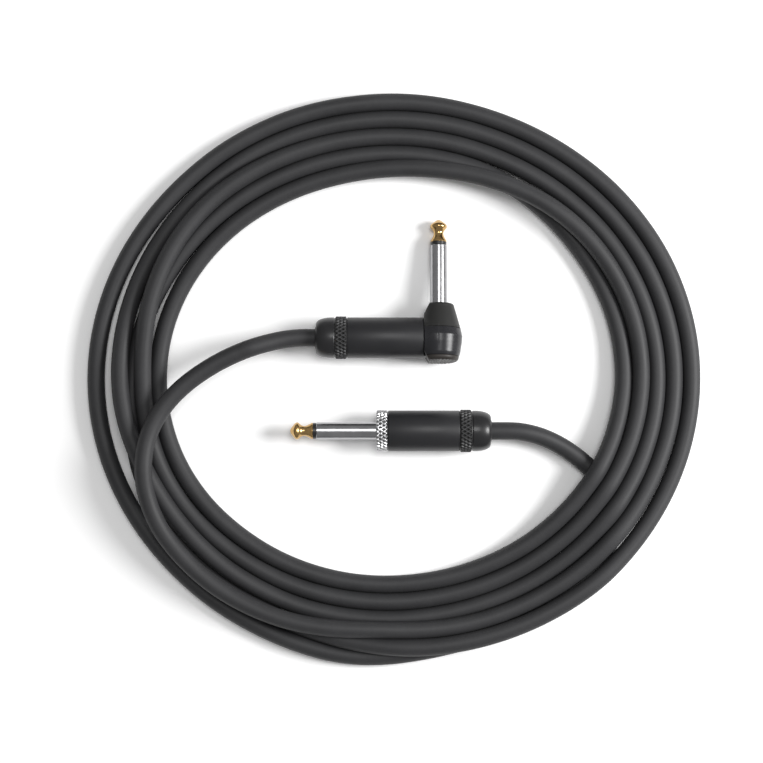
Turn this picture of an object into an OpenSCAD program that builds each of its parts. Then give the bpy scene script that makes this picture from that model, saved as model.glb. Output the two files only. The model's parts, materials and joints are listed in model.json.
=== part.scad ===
// Instrument cable: an oval coil of 6.5 mm cable with a straight and a right-angle
// 6.35 mm (quarter inch) two-pole plug lying inside it. Millimetres, +Z up, floor at z = 0.
// The origin is the middle of the two plugs' box, on the floor. +X runs from the straight
// plug's tip to its cable end, and the right-angle plug's pin points to +Y and down to the floor.

/* [Cable] */
// Outside diameter of the cable's jacket
cable_d = 6.5; // [5.5:0.1:7]
// Diameter of the insulated core wire inside the plugs
core_wire_d = 1.8; // [1.2:0.1:2.2]
// Diameter of the twisted shield pigtail inside the plugs
shield_d = 1.4; // [1:0.1:1.8]

/* [Coil] */
// Outer length of the oval coil along X
coil_outer_x = 225.6; // [220:0.2:250]
// Outer width of the oval coil along Y
coil_outer_y = 210.4; // [206:0.2:236]
// Length of the oval hole inside the coil along X
coil_inner_x = 166; // [150:0.2:168]
// Width of the oval hole inside the coil along Y
coil_inner_y = 151.4; // [140:0.2:153]
// Height of the pile of turns
coil_height = 12.6; // [10:0.1:16]

/* [Plug pins] */
// Pin diameter, the quarter inch standard
pin_d = 6.35; // [6.3:0.01:6.4]
// Pin length from its tip to its shoulder
pin_len = 31.75; // [31:0.05:33]
// Length of the gold tip contact
tip_len = 8.4; // [8:0.1:9]
// Diameter of the tip's neck, the groove that the jack's spring drops into
neck_d = 4.1; // [3.8:0.1:4.6]
// Length of the insulating ring behind the tip
ring_len = 1.3; // [1:0.1:1.8]
// Diameter of the rod that joins the tip to its lug
rod_d = 2.2; // [1.8:0.1:2.4]
// Outside diameter of the insulating tube around the rod
core_tube_d = 3.6; // [3.3:0.1:4.2]

/* [Gland, the same on both plugs] */
// Outside diameter of the barrels
barrel_d = 15; // [14.4:0.1:15.4]
// Inside diameter of the barrels
barrel_bore_d = 12.4; // [12.2:0.1:12.8]
// Outside diameter over the knurls
knurl_d = 15.7; // [15.5:0.1:16.4]
// Length of the gland nut's knurled ring
nut_knurl_len = 4.5; // [4:0.1:6]
// Length of the gland nut's dome behind the ring
dome_len = 7; // [6.5:0.1:8]
// Diameter of the flat end of the dome
dome_end_d = 10.4; // [10.2:0.1:11]
// Radius that rounds the dome's edge
dome_round = 2.2; // [1.6:0.1:2.2]
// Pitch of the screw threads
thread_pitch = 1; // [0.75:0.05:1.25]
// Outside diameter of the gland thread at the barrel's end
gland_thread_d = 13.2; // [13.2:0.1:13.4]
// Length of the gland thread
gland_thread_len = 4; // [3.5:0.1:4.4]
// Inside diameter of the insulating liner
liner_bore_d = 11.2; // [10.9:0.1:11.5]

/* [Straight plug] */
// Length of the silver knurled collar
collar_len = 4.3; // [4:0.1:6]
// Outside diameter of the silver knurled collar
collar_d = 15.3; // [15.2:0.1:16]
// Length of the barrel between the collar and the gland nut
straight_barrel_len = 26.5; // [26:0.1:32]
// Length of the collar's thread inside the barrel
collar_thread_len = 5; // [4.5:0.1:5.5]

/* [Right-angle plug] */
// Length of the barrel between the head and the gland nut
angle_barrel_len = 28.3; // [28:0.1:34]
// Distance of the pin's shoulder from the barrel's axis
shoulder_reach = 12.6; // [12.4:0.1:14]
// Distance of the heel's end from the barrel's axis
heel_reach = 9; // [8.6:0.1:10]
// Largest radius of the head around the pin
head_r = 8.6; // [8.4:0.1:9]
// Distance from the pin's axis to the joint between head and barrel
arm_len = 5.6; // [5.4:0.1:6]
// Distance between the axes of the two barrels
plug_spacing = 34.4; // [32:0.1:40]

/* [Hidden] */
$fn = 64;

// Clearances: all round between two pieces of one assembly, and of the screwed joints
seat_gap = 0.05;
thread_gap = 0.08;
// Gap between the faces of two pieces that screw up to each other, and around moving cones
joint_gap = 0.1;
cone_gap = 0.3;
// Depth of a thread groove, and of a tooth of the knurl
thread_depth = 0.35;
knurl_depth = 0.3;
// Number of teeth of the knurls
knurl_teeth = 48;
// The insulating ring is this much less in diameter than the pin
ring_inset = 0.4;

// Straight plug, distances from its tip along its axis
shoulder_x = pin_len;
collar_end = shoulder_x + collar_len;
nut_start = collar_end + straight_barrel_len;
straight_len = nut_start + nut_knurl_len + dome_len;
// Wall at the front end of a barrel, and the gland's own places from the nut's front face
front_bore_d = barrel_bore_d + 2 * seat_gap;
chuck_front = -5.5;
chuck_end = nut_knurl_len + 2.2;
chuck_flange_len = 2;
chuck_flange_d = 10.4;
chuck_d = 9.8;
chuck_taper = 1;
gland_bore_d = 11;
gland_bore_len = 6.3;
chuck_bore_d = cable_d + 2 * 0.15;
nut_bore_d = gland_thread_d + 2 * thread_gap;
grommet_len = 2.4;
grommet_d = 8.6;
// The cable's jacket ends this far in front of the nut, the clamp and the liner likewise
jacket_end = -11;
clamp_start = -10;
clamp_len = 4;
clamp_wall = 0.5;
liner_len = 14.6;
liner_d = barrel_bore_d - 2 * seat_gap;
// Lugs are cut from sheet of this thickness
lug_wall = 0.6;
washer_len = 0.6;
washer_d = cable_d - 0.9;
// The rod's riveted end stands this far behind its lug
rivet_len = 0.8;
// The sleeve steps down to this diameter where it is pressed into the plug's body
sleeve_root_d = 5.2;

// Radius that the straight plug rests on
rest_r = max(knurl_d, barrel_d, collar_d) / 2;

// Right-angle plug: distances from the barrel's axis along the pin, tip upwards
seam_y = 3.2;
head_wall = 1.4;
angle_len = shoulder_reach + pin_len;
heel_cap_len = 1.9;
// Pin axis in the barrel's direction, and the tilt that lets the tip rest on the floor
angle_pin_x = 17.9;
tip_r = pin_d / 2;
angle_axis_z = max(head_r + 0.1, rest_r);
tilt = asin((angle_axis_z - tip_r) / (angle_len - 2.6));

// Places of the plugs
straight_axis_z = rest_r;
plugs_top = angle_len * cos(tilt);
angle_y = (plug_spacing + rest_r - plugs_top) / 2;
straight_y = angle_y - plug_spacing;

// Middle of the coil, of its hole, and how finely it is divided
coil_mid = [1.5, -16.2];
hole_mid = [0.6, -14.6];
coil_steps = 72;
section_steps = 12;
tube_sides = 10;

// Route of the lead behind each plug, from the end of its jacket inside the plug
straight_route = [
  [58, 0, 0], [64, 0, 0], [70, 0, 0], [76, 0, 0], [81, 0, 0], [86, -0.1, -0.2],
  [93, -2.2, -2], [100, -5.6, -4], [107, -9.8, -4.6], [115, -15.2, -4.6]
];
angle_route = [
  [-14, 0, 0], [-22, 0, 0], [-30, 0, 0], [-38, 0, 0], [-46, 0, 0], [-51, 0, 0],
  [-58, -0.7, 0.8], [-67, -2.9, 3.3], [-76, -6.2, 6.3], [-84, -10.2, 8],
  [-92, -15.4, 8.3], [-99, -21.6, 8.1], [-105, -29.2, 7.9], [-108.6, -38, 7.7],
  [-109.8, -47, 7.3], [-108.6, -56, 5.9], [-106, -64.6, 3.5], [-102.6, -72, 0.9]
];

// Star outline of a straight knurl
function knurl_points(r, teeth) = [
  for (i = [0 : 2 * teeth - 1])
    let (rr = i % 2 == 0 ? r : r - knurl_depth, a = 180 * i / teeth)
      [rr * cos(a), rr * sin(a)]
];

// Smooth curve through a list of points, with steps rings per span
function spline(p, i, t) =
  let (
    n = len(p) - 1,
    a = p[max(i - 1, 0)],
    b = p[i],
    c = p[min(i + 1, n)],
    d = p[min(i + 2, n)]
  )
  0.5 * (2 * b + (c - a) * t + (2 * a - 5 * b + 4 * c - d) * t * t
    + (3 * b - a - 3 * c + d) * t * t * t);
function curve(p, steps) = [
  for (i = [0 : len(p) - 2], k = [0 : steps - 1]) spline(p, i, k / steps),
  p[len(p) - 1]
];
function unit(v) = v / norm(v);

// Round tube of diameter d along the points p
module tube(p, d) {
  n = len(p);
  rings = [
    for (i = [0 : n - 1])
      let (
        t = unit(p[min(i + 1, n - 1)] - p[max(i - 1, 0)]),
        s = unit(cross(t, [0, 0, 1])),
        u = cross(s, t)
      )
      for (k = [0 : tube_sides - 1])
        let (a = 360 * k / tube_sides)
          p[i] + d / 2 * (s * cos(a) + u * sin(a))
  ];
  sides = [
    for (i = [0 : n - 2], k = [0 : tube_sides - 1])
      let (a = i * tube_sides, m = (k + 1) % tube_sides)
        each [
          [a + k, a + m, a + tube_sides + m],
          [a + k, a + tube_sides + m, a + tube_sides + k]
        ]
  ];
  first = [for (k = [tube_sides - 1 : -1 : 0]) k];
  last = [for (k = [0 : tube_sides - 1]) (n - 1) * tube_sides + k];
  polyhedron(points = rings, faces = concat([first], sides, [last]), convexity = 4);
}

// Body of revolution about X from points [x, radius]
module turned_x(p) {
  rotate([0, 90, 0])
    rotate_extrude()
      polygon([for (q = p) [q[1], q[0]]]);
}

// Body of revolution about Y from points [y, radius]
module turned_y(p) {
  rotate([-90, 0, 0])
    rotate_extrude()
      polygon([for (q = p) [q[1], q[0]]]);
}

// Outline of a pin's tip from its point, as [distance, radius]
function tip_outline() = concat(
  [[0, 0], [0.25, 1.1], [0.6, 1.7]],
  [for (a = [35 : 15 : 155]) [2.6 - 2.0 * cos(a), tip_r - 1.3 + 1.3 * sin(a)]],
  [for (t = [0 : 0.25 : 1]) [4.6 + 0.7 * t, neck_d / 2 + 0.25 * (1 - t) * (1 - t)]],
  [[6.2, neck_d / 2 + 0.15], [tip_len - 0.6, tip_r], [tip_len, tip_r], [tip_len, 0]]
);

// Outline of threads of outside radius r from x = a to x = b
function thread_outline(a, b, r) = [
  for (x = [a : thread_pitch : b - thread_pitch])
    each [[x, r], [x + thread_pitch / 2, r - thread_depth], [x + thread_pitch, r]]
];

// Round cut along X from a to b
module bore_x(a, b, d) {
  translate([a, 0, 0]) rotate([0, 90, 0]) cylinder(h = b - a, d = d);
}

// Plain tube along X from a to b
module tube_x(a, b, outer, inner) {
  difference() {
    translate([a, 0, 0]) rotate([0, 90, 0]) cylinder(h = b - a, d = outer);
    translate([a - 1, 0, 0]) rotate([0, 90, 0]) cylinder(h = b - a + 2, d = inner);
  }
}

// A sheet-metal ring with a tail, lying across X at x = 0, its tail towards +Y
module lug_ring(d, bore, tail) {
  difference() {
    union() {
      rotate([0, 90, 0]) cylinder(h = lug_wall, d = d);
      translate([0, 0, -1.2]) cube([lug_wall, tail, 2.4]);
    }
    translate([-1, 0, 0]) rotate([0, 90, 0]) cylinder(h = lug_wall + 2, d = bore);
  }
}

// The gland's pieces, in a frame whose origin is the nut's front face, cable towards +X

module gland_barrel(length, front_thread_len) {
  thread_r = gland_thread_d / 2;
  front = -length + joint_gap;
  difference() {
    union() {
      turned_x([
        [front, 0], [front, barrel_d / 2 - 0.3], [front + 0.3, barrel_d / 2],
        [-joint_gap - 0.3, barrel_d / 2], [-joint_gap, barrel_d / 2 - 0.3], [-joint_gap, 0]
      ]);
      turned_x(concat(
        [[-1, 0], [-1, thread_r]],
        thread_outline(0, gland_thread_len, thread_r),
        [[gland_thread_len, thread_r - thread_depth], [gland_thread_len, 0]]
      ));
    }
    bore_x(-length - 1, gland_thread_len + 1, gland_bore_d);
    bore_x(-length - 1, -gland_bore_len, barrel_bore_d);
    bore_x(-length - 1, -length + front_thread_len, front_bore_d);
  }
}

module gland_liner() {
  tube_x(-gland_bore_len - 0.2 - liner_len, -gland_bore_len - 0.2, liner_d, liner_bore_d);
}

// Split collet: a ring with four fingers that the dome squeezes on the cable
module gland_chuck() {
  slot = 1.2;
  flange_end = chuck_front + chuck_flange_len;
  difference() {
    turned_x([
      [chuck_front, chuck_bore_d / 2], [chuck_front, chuck_flange_d / 2],
      [flange_end, chuck_flange_d / 2], [flange_end, chuck_d / 2],
      [chuck_end - 2.4, chuck_d / 2], [chuck_end, chuck_d / 2 - chuck_taper],
      [chuck_end, chuck_bore_d / 2]
    ]);
    for (a = [45, 135])
      rotate([a, 0, 0])
        translate([flange_end + 1.4, -barrel_d / 2, -slot / 2])
          cube([chuck_end, barrel_d, slot]);
  }
}

module gland_nut() {
  dome_start = nut_knurl_len;
  end = nut_knurl_len + dome_len;
  body_r = barrel_d / 2;
  flat = 2.4;
  cone_r = chuck_d / 2 + cone_gap;
  cable_r = cable_d / 2 + 0.35;
  difference() {
    union() {
      rotate([0, 90, 0])
        linear_extrude(nut_knurl_len) polygon(knurl_points(knurl_d / 2, knurl_teeth));
      turned_x(concat(
        [
          [dome_start - 0.5, 0], [dome_start - 0.5, body_r - 0.4],
          [dome_start, body_r - 0.4], [dome_start, body_r], [dome_start + flat, body_r]
        ],
        [
          for (a = [10 : 10 : 90])
            [
              dome_start + flat + (dome_len - flat) * sin(a),
              dome_end_d / 2 + (body_r - dome_end_d / 2) * cos(a)
            ]
        ],
        [[end, 0]]
      ));
    }
    turned_x([
      [-1, 0], [-1, nut_bore_d / 2], [gland_thread_len + 0.3, nut_bore_d / 2],
      [gland_thread_len + 0.3, cone_r], [chuck_end - 2.4 + cone_gap, cone_r],
      [chuck_end + cone_gap, cone_r - chuck_taper], [chuck_end + cone_gap, cable_r],
      [end - grommet_len, cable_r], [end - grommet_len, grommet_d / 2],
      [end + 1, grommet_d / 2], [end + 1, 0]
    ]);
  }
}

// Soft ring in the dome's mouth
module gland_grommet() {
  end = nut_knurl_len + dome_len;
  turned_x([
    [end - grommet_len, cable_d / 2 + 0.2], [end - grommet_len, grommet_d / 2 - seat_gap],
    [end - 0.1, grommet_d / 2 - seat_gap], [end + 0.3, cable_d / 2 + 0.9],
    [end + 0.3, cable_d / 2 + 0.2]
  ]);
}

// Ground lug's clamp: a half ring under the cable's jacket with two folded wings
module cable_clamp() {
  r = cable_d / 2 + seat_gap;
  difference() {
    translate([clamp_start, 0, 0])
      rotate([0, 90, 0]) cylinder(h = clamp_len, r = r + clamp_wall);
    translate([clamp_start - 1, 0, 0]) rotate([0, 90, 0]) cylinder(h = clamp_len + 2, r = r);
    translate([clamp_start - 1, -r - 1, r - 1.2]) cube([clamp_len + 2, 2 * r + 2, 4]);
  }
}

// Straight plug, in a frame whose origin is its tip, cable towards +X

module straight_frame() {
  translate([-straight_len / 2, straight_y, straight_axis_z]) children();
}

module straight_gland_frame() {
  straight_frame() translate([nut_start, 0, 0]) children();
}

lug_x = shoulder_x + collar_len + collar_thread_len;
tip_lug_x = lug_x + lug_wall + washer_len;
// The tip lug's tail folds back at this distance from the axis
tail_y = 2.8;

module straight_tip() {
  color("goldenrod") straight_frame() {
    turned_x(tip_outline());
    rotate([0, 90, 0]) cylinder(h = tip_lug_x + lug_wall + rivet_len, d = rod_d);
  }
}

module pin_ring() {
  difference() {
    rotate([0, 90, 0]) cylinder(h = ring_len, d = pin_d - ring_inset);
    translate([-1, 0, 0]) rotate([0, 90, 0]) cylinder(h = ring_len + 2, d = rod_d + 2 * seat_gap);
  }
}

module straight_tip_ring() {
  color("black") straight_frame() translate([tip_len, 0, 0]) pin_ring();
}

// Sleeve from the ring to its foot inside the plug's body
module pin_sleeve(foot) {
  bore = core_tube_d + 2 * seat_gap;
  tube_x(tip_len + ring_len, pin_len, pin_d, bore);
  tube_x(pin_len - 1, foot, sleeve_root_d, bore);
}

module straight_sleeve() {
  color("silver") straight_frame() pin_sleeve(shoulder_x + 2);
}

module straight_core_tube() {
  color("ivory") straight_frame()
    tube_x(tip_len + ring_len, lug_x + lug_wall, core_tube_d, rod_d + 2 * seat_gap);
}

module straight_collar() {
  spigot_r = barrel_bore_d / 2 - thread_gap + seat_gap;
  color("gainsboro") straight_frame() difference() {
    union() {
      translate([shoulder_x, 0, 0]) rotate([0, 90, 0])
        linear_extrude(collar_len) polygon(knurl_points(collar_d / 2, knurl_teeth));
      turned_x(concat(
        [[collar_end - 1, 0], [collar_end - 1, spigot_r]],
        thread_outline(collar_end, lug_x, spigot_r),
        [[lug_x, spigot_r - thread_depth], [lug_x, 0]]
      ));
    }
    bore_x(shoulder_x - 1, shoulder_x + 2, sleeve_root_d + 2 * seat_gap);
    translate([shoulder_x, 0, 0]) rotate([0, 90, 0])
      cylinder(h = collar_len + collar_thread_len + 2, d = core_tube_d + 2 * seat_gap);
  }
}

// Sheet strip from the lug ring back to the clamp under the jacket
module straight_ground_lug() {
  reach = cable_d / 2 + seat_gap + clamp_wall;
  strip_end = nut_start + clamp_start + clamp_len;
  color("silver") straight_frame() {
    difference() {
      union() {
        translate([lug_x, 0, 0]) rotate([0, 90, 0]) cylinder(h = lug_wall, d = 9.6);
        translate([lug_x, -1.5, -reach]) cube([lug_wall, 3, reach]);
      }
      translate([lug_x - 1, 0, 0])
        rotate([0, 90, 0]) cylinder(h = lug_wall + 2, d = core_tube_d + 2 * seat_gap);
    }
    translate([lug_x, -1.5, -reach]) cube([strip_end - lug_x, 3, clamp_wall]);
  }
  color("silver") straight_gland_frame() cable_clamp();
}

module straight_lug_washer() {
  color("saddlebrown") straight_frame()
    tube_x(lug_x + lug_wall, tip_lug_x, washer_d, rod_d + 2 * seat_gap);
}

module straight_tip_lug() {
  color("silver") straight_frame() translate([tip_lug_x, 0, 0]) {
    lug_ring(4.8, rod_d + 2 * seat_gap, tail_y + lug_wall);
    translate([0, tail_y, -1.2]) cube([4, lug_wall, 2.4]);
  }
}

// Wires run from just off the jacket's end to their lugs, and clear what they lie on
wire_gap = 0.2;
wire_clear = 0.1;

module straight_core_wire() {
  color("white") straight_frame() tube(curve([
    [nut_start + jacket_end - wire_gap, 0, 0], [nut_start + jacket_end - 3, 0.4, 0],
    [tip_lug_x + 5, 1.4, 0], [tip_lug_x + 1.7, tail_y - core_wire_d / 2 - seat_gap, 0]
  ], 4), core_wire_d);
}

// The pigtail ends where its drop of solder starts
shield_len = 5.5;
solder_d = 2;

module straight_shield() {
  drop = cable_d / 2 + seat_gap - shield_d / 2 - wire_clear;
  start = nut_start + jacket_end;
  color("peru") straight_frame() tube(curve([
    [start - wire_gap, 0, 0.3 - drop], [start - 2, 0, 0.1 - drop],
    [start - 4, 0, -drop], [start - shield_len, 0, -drop]
  ], 4), shield_d);
}

// Two drops of solder, one on each lug
module straight_solder() {
  reach = cable_d / 2 + seat_gap;
  color("lightgray") straight_frame() {
    translate([tip_lug_x + 2.4, tail_y + lug_wall, 0])
      rotate([-90, 0, 0]) cylinder(h = 0.9, d1 = solder_d, d2 = solder_d / 2);
    translate([nut_start + jacket_end - shield_len - joint_gap - solder_d / 2, 0, -reach])
      cylinder(h = 1.6, d1 = solder_d, d2 = solder_d / 2);
  }
}

module straight_liner() {
  color("ivory") straight_gland_frame() gland_liner();
}

module straight_barrel() {
  color("dimgray") straight_gland_frame() gland_barrel(straight_barrel_len, collar_thread_len);
}

module straight_chuck() {
  color("white") straight_gland_frame() gland_chuck();
}

module straight_nut() {
  color("dimgray") straight_gland_frame() gland_nut();
}

module straight_grommet() {
  color("black") straight_gland_frame() gland_grommet();
}

// Right-angle plug, in a frame whose origin is where the pin's axis meets the barrel's axis.
// The pin points to +Y and the cable leaves towards -X.

module angle_frame() {
  translate([angle_pin_x, angle_y, angle_axis_z]) rotate([-tilt, 0, 0]) children();
}

module angle_gland_frame() {
  angle_frame() mirror([1, 0, 0]) translate([arm_len + angle_barrel_len, 0, 0]) children();
}

// Puts a piece drawn along X with its tip at the origin onto the pin
module on_pin() {
  translate([0, angle_len, 0]) rotate([0, 0, -90]) children();
}

// Lug stack inside the head, as distances from the barrel's axis
rivet_y = 3.4;
angle_lug_y = rivet_y + rivet_len;
angle_washer_y = angle_lug_y + lug_wall;
angle_ground_y = angle_washer_y + washer_len;
sleeve_foot_y = angle_ground_y + lug_wall;

module angle_tip() {
  color("goldenrod") angle_frame() {
    on_pin() {
      turned_x(tip_outline());
      rotate([0, 90, 0]) cylinder(h = angle_len - rivet_y, d = rod_d);
    }
  }
}

module angle_tip_ring() {
  color("black") angle_frame() on_pin() translate([tip_len, 0, 0]) pin_ring();
}

module angle_sleeve() {
  color("silver") angle_frame() on_pin() pin_sleeve(angle_len - sleeve_foot_y);
}

module angle_core_tube() {
  color("ivory") angle_frame() on_pin()
    tube_x(tip_len + ring_len, angle_len - angle_ground_y, core_tube_d, rod_d + 2 * seat_gap);
}

// Outside of the head around the pin, as [distance, radius]
function head_outline(grow) = [
  [-heel_reach, 0], [-heel_reach, 5.2 + grow], [-heel_reach + 0.6, 6.4 + grow],
  [-heel_reach + 1.9, 7.3 + grow], [-heel_reach + 2.8, 7.6 + grow], [-2, head_r - 0.25 + grow],
  [0.4, head_r + grow], [seam_y, head_r - 0.55 + grow],
  [shoulder_reach - 1, 5.7 + grow], [shoulder_reach - 0.3, 5 + grow],
  [shoulder_reach, 4.2 + grow], [shoulder_reach, 0]
];

// The head: a turned body cut flat where the barrel meets it, and the round arm between them
module head_solid(low) {
  intersection() {
    difference() {
      turned_y(head_outline(0));
      if (low) translate([-20, -heel_reach - 1, -20]) cube([40, 1 + heel_cap_len, 40]);
    }
    translate([-arm_len, -20, -20]) cube([40, 40, 40]);
  }
  translate([-arm_len, 0, 0]) rotate([0, 90, 0]) cylinder(h = arm_len, d = barrel_d);
}

module head_hollow() {
  turned_y([
    [-heel_reach - 1, 0], [-heel_reach - 1, 6], [seam_y, head_r - head_wall - 0.6],
    [sleeve_foot_y, 5.8], [sleeve_foot_y, 0]
  ]);
  translate([-arm_len - 1, 0, 0]) rotate([0, 90, 0]) cylinder(h = arm_len + 1, d = front_bore_d);
}

module angle_nose() {
  color("dimgray") angle_frame() difference() {
    intersection() {
      head_solid(false);
      translate([-20, seam_y, -20]) cube([40, 20, 40]);
    }
    head_hollow();
    turned_y([
      [sleeve_foot_y - 1, 0], [sleeve_foot_y - 1, sleeve_root_d / 2 + seat_gap],
      [shoulder_reach + 1, sleeve_root_d / 2 + seat_gap], [shoulder_reach + 1, 0]
    ]);
  }
}

module angle_housing() {
  color("dimgray") angle_frame() difference() {
    intersection() {
      head_solid(true);
      translate([-20, seam_y - 20, -20]) cube([40, 20, 40]);
    }
    head_hollow();
  }
}

// Round plug that closes the heel, with a skirt that pushes into the housing
module angle_heel_cap() {
  rim = -heel_reach + heel_cap_len - joint_gap;
  color("black") angle_frame() difference() {
    turned_y([
      [-heel_reach, 0], [-heel_reach, 5.2], [-heel_reach + 0.6, 6.4],
      [rim, 7.3], [rim, 5.75], [rim + 1.2, 5.75], [rim + 1.2, 4.6],
      [-heel_reach + 1.2, 4.6], [-heel_reach + 1.2, 0]
    ]);
    translate([-arm_len - 20, -20, -20]) cube([20, 40, 40]);
    translate([-arm_len - 1, 0, 0])
      rotate([0, 90, 0]) cylinder(h = arm_len + 1, d = barrel_d + 2 * cone_gap);
  }
}

module angle_ground_lug() {
  side = cable_d / 2 + seat_gap;
  strip_end = arm_len + angle_barrel_len + clamp_start + clamp_len;
  color("silver") angle_frame() {
    difference() {
      union() {
        translate([0, angle_ground_y, 0]) rotate([-90, 0, 0]) cylinder(h = lug_wall, d = 8.4);
        translate([-arm_len + 0.2, angle_ground_y, -1.5]) cube([arm_len, lug_wall, 3]);
      }
      translate([0, angle_ground_y - 1, 0])
        rotate([-90, 0, 0]) cylinder(h = lug_wall + 2, d = core_tube_d + 2 * seat_gap);
    }
    translate([-arm_len + 0.2, side, -1.5]) cube([lug_wall, angle_ground_y - side + lug_wall, 3]);
    translate([-strip_end, side, -1.5]) cube([strip_end - arm_len + 0.2 + lug_wall, clamp_wall, 3]);
  }
  color("silver") angle_gland_frame() rotate([90, 0, 0]) cable_clamp();
}

module angle_lug_washer() {
  color("saddlebrown") angle_frame() on_pin()
    tube_x(angle_len - angle_ground_y, angle_len - angle_washer_y, washer_d,
      rod_d + 2 * seat_gap);
}

module angle_tip_lug() {
  color("silver") angle_frame() difference() {
    union() {
      translate([0, angle_lug_y, 0]) rotate([-90, 0, 0]) cylinder(h = lug_wall, d = 4.6);
      translate([-3.6, angle_lug_y, -1.2]) cube([3.6, lug_wall, 2.4]);
      translate([-3.6, 0.4, -1.2]) cube([lug_wall, angle_lug_y + lug_wall - 0.4, 2.4]);
    }
    translate([0, angle_lug_y - 1, 0])
      rotate([-90, 0, 0]) cylinder(h = lug_wall + 2, d = rod_d + 2 * seat_gap);
  }
}

module angle_core_wire() {
  start = arm_len + angle_barrel_len + jacket_end;
  color("white") angle_frame() tube(curve([
    [-start + wire_gap, 0, 0], [-start + 4, -0.2, 0], [-8, 0.4, 0],
    [-5.4, 1.5, 0], [-3.75, 1.6, 0]
  ], 4), core_wire_d);
}

module angle_shield() {
  start = arm_len + angle_barrel_len + jacket_end;
  drop = cable_d / 2 + seat_gap - shield_d / 2 - wire_clear;
  color("peru") angle_frame() tube(curve([
    [-start + wire_gap, drop - 0.3, 0], [-start + 2, drop - 0.1, 0],
    [-start + 4, drop, 0], [-start + shield_len, drop, 0]
  ], 4), shield_d);
}

module angle_solder() {
  start = arm_len + angle_barrel_len + jacket_end;
  side = cable_d / 2 + seat_gap;
  color("lightgray") angle_frame() {
    translate([-3, 1.6, 0])
      rotate([0, 90, 0]) cylinder(h = 0.9, d1 = solder_d, d2 = solder_d / 2);
    translate([-start + shield_len + joint_gap + solder_d / 2, side, 0])
      rotate([90, 0, 0]) cylinder(h = 1.6, d1 = solder_d, d2 = solder_d / 2);
  }
}

module angle_liner() {
  color("ivory") angle_gland_frame() gland_liner();
}

module angle_barrel() {
  color("dimgray") angle_gland_frame() gland_barrel(angle_barrel_len, collar_thread_len);
}

module angle_chuck() {
  color("white") angle_gland_frame() gland_chuck();
}

module angle_nut() {
  color("dimgray") angle_gland_frame() gland_nut();
}

module angle_grommet() {
  color("black") angle_gland_frame() gland_grommet();
}

// Cable

// Point on an ellipse of half sizes a and b around mid, at angle t
function on_oval(mid, a, b, t) = [mid[0] + a * cos(t), mid[1] + b * sin(t)];

// The wound turns as one ring with a rounded oblong section
module cable_coil() {
  corner = coil_height / 2;
  points = [
    for (i = [0 : coil_steps - 1])
      let (
        t = 360 * i / coil_steps,
        outer = on_oval(coil_mid, coil_outer_x / 2, coil_outer_y / 2, t),
        inner = on_oval(hole_mid, coil_inner_x / 2, coil_inner_y / 2, t),
        out = unit(outer - inner)
      )
      for (k = [0 : section_steps - 1])
        let (
          a = 360 * (k + 0.5) / section_steps,
          side = cos(a) > 0 ? outer - out * corner : inner + out * corner,
          xy = side + out * corner * cos(a) / cos(180 / section_steps),
          z = corner * (1 + sin(a) / sin(90 - 180 / section_steps))
        )
          [xy[0], xy[1], z]
  ];
  faces = [
    for (i = [0 : coil_steps - 1], k = [0 : section_steps - 1])
      let (
        j = (i + 1) % coil_steps,
        m = (k + 1) % section_steps,
        a = i * section_steps,
        b = j * section_steps
      )
        each [[a + k, a + m, b + m], [a + k, b + m, b + k]]
  ];
  color("darkslategray") polyhedron(points = points, faces = faces, convexity = 8);
}

module cable_lead_straight() {
  place = [-straight_len / 2, straight_y, straight_axis_z];
  start = [nut_start + jacket_end, 0, 0];
  rest = [for (p = straight_route) if (p[0] > start[0] + 4) p];
  color("darkslategray") tube([for (p = curve(concat([start], rest), 2)) p + place], cable_d);
}

module cable_lead_angle() {
  place = [angle_pin_x, angle_y, angle_axis_z];
  start = [-(arm_len + angle_barrel_len + jacket_end), 0, 0];
  rest = [for (p = angle_route) if (p[0] < start[0] - 4) p];
  color("darkslategray") tube([for (p = curve(concat([start], rest), 2)) p + place], cable_d);
}

straight_tip();
straight_tip_ring();
straight_sleeve();
straight_core_tube();
straight_collar();
straight_ground_lug();
straight_lug_washer();
straight_tip_lug();
straight_core_wire();
straight_shield();
straight_solder();
straight_liner();
straight_barrel();
straight_chuck();
straight_nut();
straight_grommet();
angle_tip();
angle_tip_ring();
angle_sleeve();
angle_core_tube();
angle_nose();
angle_housing();
angle_heel_cap();
angle_ground_lug();
angle_lug_washer();
angle_tip_lug();
angle_core_wire();
angle_shield();
angle_solder();
angle_liner();
angle_barrel();
angle_chuck();
angle_nut();
angle_grommet();
cable_coil();
cable_lead_straight();
cable_lead_angle();
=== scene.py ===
import json
import math

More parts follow.
